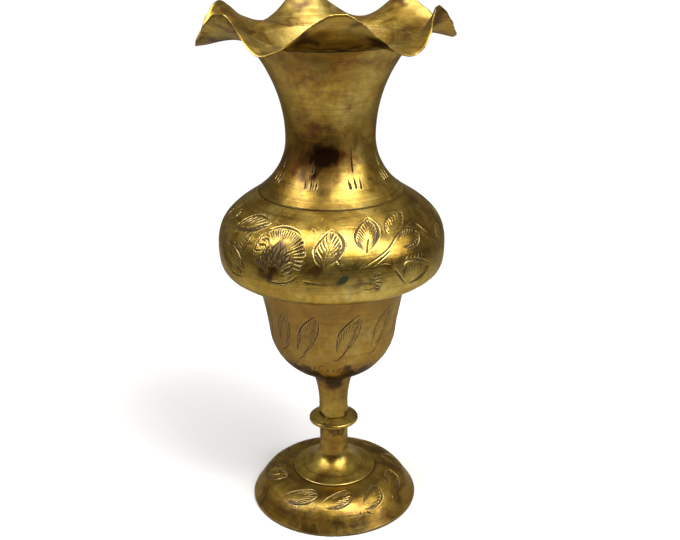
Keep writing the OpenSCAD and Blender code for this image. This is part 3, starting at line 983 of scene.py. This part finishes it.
def aged_brass(name, dull=0.0, brown=0.0, shift=(0, 0, 0), warm=0.0, spots=0.6,
               fringe=(0.20, 0.102, 0.020)):
    """Old unlacquered brass: golden where handled, olive and brown where not, dark in every cut.

    dull roughens it, brown darkens it, shift moves the pattern, warm browns all of it, spots is the
    strength of the tarnish and fringe the colour round the burnt stains and the painted shade marks.
    """
    g = Graph(bpy.data.materials.new(name))
    where = g.node("Mapping", {"Vector": g.where(), "Location": shift}).outputs[0]
    broad = g.noise(where, 26, 5, 0.6, 0.4)
    cloud = g.noise(where, 95, 6, 0.62, 0.6)
    mottle = g.noise(where, 420, 4, 0.6)
    grain = g.noise(where, 2600, 2, 0.5)
    turned = g.streaks(where, (14, 14, 900), 3, 0.6)
    lathe = g.streaks(where, (22, 22, 2300), 2)
    wiped = g.streaks(where, (60, 60, 520), 4, 0.65, (0.25, 0.1, 0.3))
    scratches = g.streaks(where, (90, 90, 2600), 2, 0.5, (0.9, 0.5, 0.2))
    cross_scratches = g.streaks(where, (2400, 120, 90), 2, 0.5, (0.3, 0.7, 0.9))
    scores = g.add(g.level(scratches, 0.66, 0.72), g.level(cross_scratches, 0.68, 0.74))
    cut, wear_and_glint, inside, stain_and_shade, green = [g.mask(key) for key in MASKS]
    worn_edge_and_glint = g.level(wear_and_glint, 0.2, 1.0)

    tone = g.add(
        (g.level(broad, 0.3, 0.7), 0.46), (g.level(cloud, 0.3, 0.7), 0.36),
        (turned, 0.09), (wiped, 0.09), -brown,
    )
    colour = g.ramp(tone, (
        (0.10, (0.085, 0.040, 0.004)), (0.30, (0.260, 0.136, 0.012)), (0.52, (0.490, 0.302, 0.036)),
        (0.74, (0.665, 0.495, 0.118)), (0.94, (0.79, 0.68, 0.31)),
    ))

    def tint(share, new, strength=None):
        """Cover the colour so far with a new one, by a share times a strength."""
        nonlocal colour
        colour = g.mix(g.scaled(share, strength) if strength else share, colour, new)

    def patches(low, high, *noise):
        return g.level(g.noise(where, *noise), low, high)

    tint(patches(0.54, 0.70, 44, 6, 0.58, 0.8), (0.125, 0.066, 0.011), spots)
    tint(patches(0.55, 0.72, 33, 5, 0.6, 0.5), (0.41, 0.195, 0.022), 0.55)
    tint(g.level(lathe, 0.54, 0.68, 0.0, 0.46), (0.13, 0.072, 0.012))
    tint(g.level(turned, 0.32, 0.42, 0.42, 0.0), (0.10, 0.058, 0.012))
    tint(patches(0.45, 0.7, 60, 4, 0.6, 0.3), (0.370, 0.300, 0.075), 0.5)
    tint(g.level(mottle, 0.35, 0.75, 0.0, 0.30), (0.12, 0.070, 0.016))
    if warm:
        tint(g.level(broad, 0.3, 0.7, warm, warm * 0.5), (0.27, 0.140, 0.028))
    tint(patches(0.60, 0.70, 330, 7, 0.72, 0.4), (0.11, 0.056, 0.012), 0.5)
    specks = patches(0.63, 0.70, 760, 3, 0.7)
    tint(specks, (0.10, 0.055, 0.018), 0.55)
    tint(scores, (0.66, 0.52, 0.20), 0.12)
    # Stains, with the painted shade and dark reflections listed among them.
    stain_and_shade_field = g.add(stain_and_shade, (cloud, 0.9), (broad, 0.4), (mottle, 0.3), -0.3)
    stain_and_shade_edge, stain_and_shade_core = g.level(stain_and_shade_field, 0.62, 1.15), g.level(stain_and_shade_field, 0.85, 1.55)
    tint(stain_and_shade_edge, g.mix(g.level(cloud, 0.4, 0.6), (0.095, 0.040, 0.008), fringe), 0.85)
    tint(stain_and_shade_core, (0.018, 0.006, 0.002), 0.96)
    green_edge = g.level(g.add(green, (mottle, 0.5)), 0.52, 1.0)
    verdigris = g.mix(g.level(mottle, 0.35, 0.75), (0.003, 0.017, 0.012), (0.016, 0.055, 0.038))
    tint(green_edge, verdigris, 0.9)
    # Pale worn brass on edges, plus painted glints along burrs and along the lip's edge.
    tint(worn_edge_and_glint, (0.66, 0.50, 0.20), 0.5)
    # Dark dirt in cuts and along seams, and the dark line round a standing part's foot; in the crease
    # under the lip the same darkening is painted shade.
    dirt = g.level(g.add(cut, (mottle, 0.2)), 0.20, 0.68)
    tint(dirt, (0.035, 0.017, 0.005), 0.85)
    # Tarnish inside, with painted shade that deepens below the rim.
    tint(inside, g.mix(g.level(cloud, 0.35, 0.65), (0.075, 0.040, 0.010), (0.23, 0.150, 0.035)), 0.62)

    rough = g.add(
        0.20 + dull, g.level(cloud, 0.3, 0.7, 0.0, 0.11), g.level(mottle, 0.3, 0.7, -0.03, 0.07),
        (turned, 0.10), (dirt, 0.30), (stain_and_shade_edge, 0.22), (green_edge, 0.3),
        (inside, 0.22), (worn_edge_and_glint, -0.06),
    )
    height = g.add(
        (cloud, 0.9), (mottle, 0.35), (turned, 0.16), (wiped, 0.10),
        (lathe, 0.40), (grain, 0.10), (scores, -0.05), (specks, -0.25),
        (g.scaled(inside, mottle), 1.4),
    )
    return g.metal(
        height, 0.00022, Base_Color=colour, Roughness=rough,
        Metallic=g.one_less(g.add((green_edge, 0.15), (dirt, 0.1))),
        Specular_Tint=(0.60, 0.53, 0.38, 1), Coat_Weight=0.32, Coat_Roughness=0.30,
    )


def old_steel(name):
    """Plated steel hardware, dull, with rust starting in the thread and at the edges."""
    g = Graph(bpy.data.materials.new(name))
    where = g.where()
    broad, fine = g.noise(where, 260, 5, 0.6, 0.4), g.noise(where, 1500, 4, 0.6)
    brushed = g.streaks(where, (400, 400, 4000), 3, 0.6)
    cut, wear_and_glint = g.mask("cut"), g.mask("wear_and_glint")
    rust = g.level(g.add(broad, (fine, 0.35), (cut, 0.12)), 0.72, 0.92)
    greys = ((0.3, (0.20, 0.19, 0.175)), (0.5, (0.34, 0.33, 0.30)), (0.7, (0.47, 0.46, 0.43)))
    colour = g.ramp(broad, greys)
    colour = g.mix(g.scaled(wear_and_glint, 0.4), colour, (0.6, 0.59, 0.56))
    colour = g.mix(g.scaled(cut, 0.6), colour, (0.07, 0.055, 0.04))
    colour = g.mix(rust, colour, g.mix(fine, (0.12, 0.04, 0.015), (0.28, 0.11, 0.04)))
    return g.metal(
        g.add((fine, 0.5), (brushed, 0.3), (rust, 0.8)), 0.00012,
        Base_Color=colour, Metallic=g.one_less(g.scaled(rust, 0.8)),
        Roughness=g.add(0.34, (fine, 0.16), (rust, 0.4), (cut, 0.15)),
    )


def stage_material(name, colour, clear_from, clear_at):
    """Matt pale paper that fades into the white surround between two distances from the middle."""
    g = Graph(bpy.data.materials.new(name))
    where = g.where()
    tone = g.level(g.noise(where, 3, 3), 0.3, 0.7, 0.985, 1.0)
    shade = g.node("VectorMath", {0: colour, 3: tone}, operation="SCALE").outputs[0]
    paper = {"Base Color": shade, "Roughness": 0.75, "Specular IOR Level": 0.1}
    seen = g.node("BsdfPrincipled", paper)
    dim = g.node("BsdfDiffuse", {"Color": (0.42, 0.41, 0.39, 1)})  # as the brass reflects it
    direct = g.node("LightPath").outputs["Is Camera Ray"]
    shader = g.node("MixShader", {0: direct, 1: dim.outputs[0], 2: seen.outputs[0]})
    away = g.node("VectorMath", {0: where}, operation="LENGTH").outputs["Value"]
    clear = g.node("BsdfTransparent")
    share = g.level(away, clear_from, clear_at)
    blend = g.node("MixShader", {0: share, 1: shader.outputs[0], 2: clear.outputs[0]})
    g.node("OutputMaterial", {0: blend.outputs[0]})
    return g.owner


# ---------------------------------------------------------------- the object


def place(obj, node, material, slot="aged_brass"):
    obj.data.materials.append(material)
    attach(obj, "root")
    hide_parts(node)


polished = aged_brass("aged_brass_polished", brown=-0.04)
lathed = aged_brass(
    "aged_brass_lathed", dull=0.03, brown=-0.03, shift=(0.3, 0.1, 0.2), warm=0.13,
    fringe=(0.30, 0.098, 0.016),
)
worn = aged_brass("aged_brass_worn", dull=0.03, brown=-0.07, shift=(0.3, 0.1, 0.2))
dull = aged_brass("aged_brass_dull", dull=0.12, brown=0.06, shift=(0.7, 0.4, 0.1), warm=0.68)
browned = aged_brass("aged_brass_browned", dull=0.03, brown=0.09, shift=(0.5, 0.9, 0.3), spots=0.75)
mottled = aged_brass(
    "aged_brass_mottled", dull=0.07, brown=-0.03, shift=(0.2, 0.6, 0.5), warm=0.08, spots=0.9
)
steel = old_steel("steel_hardware")


def size_of(node):
    """Outer radius, bottom and top of a round node, in millimetres."""
    low, high = box_mm(node)
    return high[0], low[2], high[2]


belly_r, belly_bottom, _ = size_of("belly")
neck_r, neck_bottom, _ = size_of("neck")
foot_r, foot_bottom, _ = size_of("foot_dome")
lower_r, lower_bottom, _ = size_of("stem_lower")
collar_r, collar_bottom, collar_top = size_of("collar")
upper_r, _, upper_top = size_of("stem_upper")
washer_r, washer_bottom, _ = size_of("washer")
stud_r, _, _ = size_of("tie_stud")
STEM_R = 7.2  # the upper stem's radius where it leaves the collar

# node, finish, where its outer face begins, then the arguments of turned_shell
SHELLS = (
    ("belly", polished, (0.92 * belly_r, belly_bottom + 0.4), dict(
        outer=0.9, inner=6.0, around=350, wobble=0.030, seed=31, engrave=engrave_belly, split=3,
        seams=(0, 1))),
    ("neck", lathed, (0.897 * neck_r, neck_bottom + 0.95), dict(
        outer=1.0, inner=3.0, around=240, wobble=0.030, seed=41, engrave=engrave_neck, split=4,
        seams=(1, 0.9), rounding=0.1)),
    ("cup", dull, (upper_r - 0.8, upper_top), dict(
        outer=0.8, inner=4.0, around=270, wobble=0.025, seed=51, engrave=engrave_cup, split=3,
        seams=(0.9, 1))),
    ("foot_dome", browned, (foot_r, foot_bottom + 1.2), dict(
        outer=0.9, inner=2.0, around=260, wobble=0.025, seed=61, engrave=engrave_foot, split=4,
        dark_ring=lower_r + 0.3)),
    ("stem_lower", worn, (lower_r, lower_bottom + 0.8), dict(
        outer=0.6, inner=2.0, around=160, wobble=0.02, seed=71, seams=(0, 0.8))),
    ("collar", worn, (collar_r, (collar_bottom + collar_top) / 2), dict(
        outer=0.3, inner=1.5, around=160, wobble=0.02, seed=81)),
    ("stem_upper", browned, (STEM_R, collar_top), dict(
        outer=0.6, inner=2.0, around=160, wobble=0.02, seed=91, seams=(0.8, 0.8))),
)
for shell_node, finish, face_start, making in SHELLS:
    place(turned_shell(shell_node, face_start, **making), shell_node, finish)
place(lip_sheet("fluted_lip"), "fluted_lip", mottled)
washer = turned_shell(
    "washer", (washer_r, washer_bottom + 0.5), outer=0.3, inner=1.0, around=96, wobble=0.015, seed=95
)
place(washer, "washer", steel, "steel_hardware")
place(threaded_rod("tie_stud"), "tie_stud", steel, "steel_hardware")
place(hexagon_nut("nut", stud_r + 0.03), "nut", steel, "steel_hardware")


# ---------------------------------------------------------------- studio

FLOOR_HALF = 0.62
CAMERA_AT = (0, -0.4565, 0.302)
LOOKS_DOWN, ROLL = 21.72, -0.63  # degrees
LENS, SENSOR, SHIFT_X = 55.59, 36.0, 0.01176
WORLD_STOPS = (  # from in front of the vase to behind it
    (0.0, (0.020, 0.014, 0.010)), (0.3, (0.045, 0.036, 0.026)),
    (0.6, (0.145, 0.134, 0.120)), (1.0, (0.24, 0.225, 0.20)),
)
LIGHTS = (  # name, place, height that it aims at, width and length, power, colour
    ("high_front", (0.40, -0.48, 1.00), 0.13, (0.42, 0.72), 13.0, (1.0, 0.99, 0.97)),
    ("high_left", (-0.66, -0.20, 0.84), 0.13, (0.32, 0.64), 5.6, (0.99, 0.99, 1.0)),
    ("overhead", (0.0, -0.06, 1.15), 0.10, (0.9, 0.62), 10.2, (1.0, 0.99, 0.97)),
    ("key_right", (0.74, -0.34, 0.60), 0.13, (0.24, 0.50), 2.6, (1.0, 0.98, 0.95)),
)


def make_floor():
    corners = [(x * FLOOR_HALF, y * FLOOR_HALF, 0) for x, y in ((-1, -1), (1, -1), (1, 1), (-1, 1))]
    mesh = bpy.data.meshes.new("floor")
    mesh.from_pydata(corners, [], [(0, 1, 2, 3)])
    floor = bpy.data.objects.new("floor", mesh)
    floor.location.z = cad_low[2] - 0.0001
    floor.data.materials.append(stage_material("pale_floor", (0.78, 0.78, 0.78), 0.25, 0.50))
    bpy.context.scene.collection.objects.link(floor)


def make_light(name, stand, aim_height, size, power, colour):
    data = bpy.data.lights.new(name, "AREA")
    data.shape, data.size, data.size_y = "RECTANGLE", size[0], size[1]
    data.energy, data.color = power, colour
    obj = bpy.data.objects.new(name, data)
    obj.location = stand
    obj.rotation_mode = "QUATERNION"
    obj.rotation_quaternion = (Vector(stand) - Vector((0, 0, aim_height))).to_track_quat("Z", "Y")
    bpy.context.scene.collection.objects.link(obj)


def make_world():
    """White as the camera sees it, a dim room as the brass reflects it."""
    g = Graph(bpy.data.worlds.new("studio"))
    way = g.node("TexCoord").outputs["Generated"]
    depth = g.node("SeparateXYZ", {0: way}).outputs["Y"]
    room = g.node("Background", {0: g.ramp(g.level(depth, -1, 1), WORLD_STOPS), 1: 1.0})
    seen = g.node("Background", {0: (1, 1, 1, 1), 1: 1.05})
    direct = g.node("LightPath").outputs["Is Camera Ray"]
    pick = g.node("MixShader", {0: direct, 1: room.outputs[0], 2: seen.outputs[0]})
    g.node("OutputWorld", {0: pick.outputs[0]})
    bpy.context.scene.world = g.owner


def make_camera():
    data = bpy.data.cameras.new("camera")
    data.lens, data.sensor_width, data.shift_x = LENS, SENSOR, SHIFT_X
    data.clip_start, data.clip_end = 0.01, 20
    obj = bpy.data.objects.new("camera", data)
    tilted = Matrix.Rotation(math.radians(90 - LOOKS_DOWN), 4, "X")
    obj.matrix_world = Matrix.Translation(CAMERA_AT) @ tilted @ Matrix.Rotation(math.radians(ROLL), 4, "Z")
    bpy.context.scene.collection.objects.link(obj)
    bpy.context.scene.camera = obj


make_floor()
make_world()
make_camera()
for light in LIGHTS:
    make_light(*light)
bpy.context.scene.view_settings.view_transform = "Standard"
